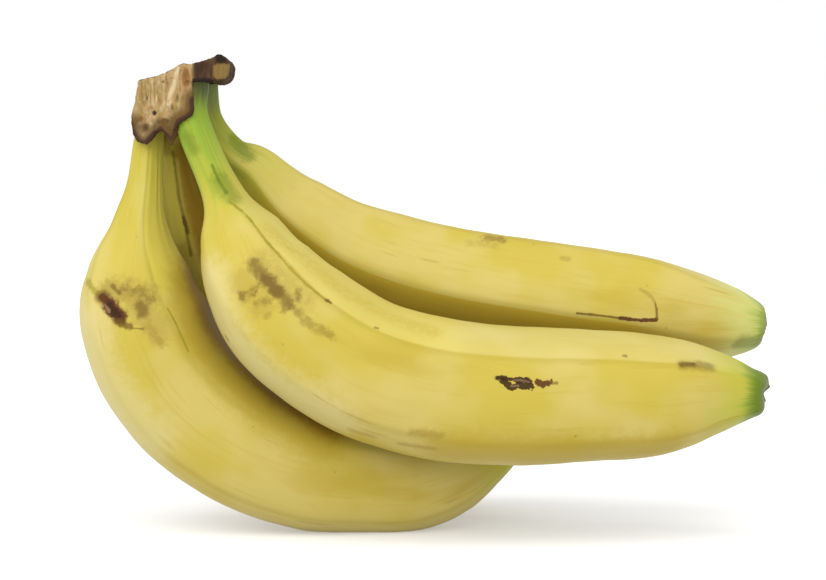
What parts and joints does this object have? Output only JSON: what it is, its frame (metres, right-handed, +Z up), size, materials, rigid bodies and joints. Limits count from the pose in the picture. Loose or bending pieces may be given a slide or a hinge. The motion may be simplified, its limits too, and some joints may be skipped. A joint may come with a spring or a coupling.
{
  "type": "hand of bananas",
  "caption": "Hand of ripe bananas still joined at the cut crown, with green necks and blossom ends, resting on the bellies of its lower fruits.",
  "frame": {"origin": "middle of the bounding box, on the surface that the hand rests on", "axes": "+X from the crown towards the blossom ends, +Y away from the front fruit, +Z up"},
  "size_m": [0.2056, 0.1042, 0.1414],
  "materials": {
    "peel": "soft satin, yellow with green ends and brown bruises",
    "crown": "dry, matt and corky"
  },
  "bodies": {
    "root": {"crown": "crown", "banana_1": "peel", "banana_2": "peel", "banana_3": "peel", "banana_4": "peel"}
  },
  "joints": []
}
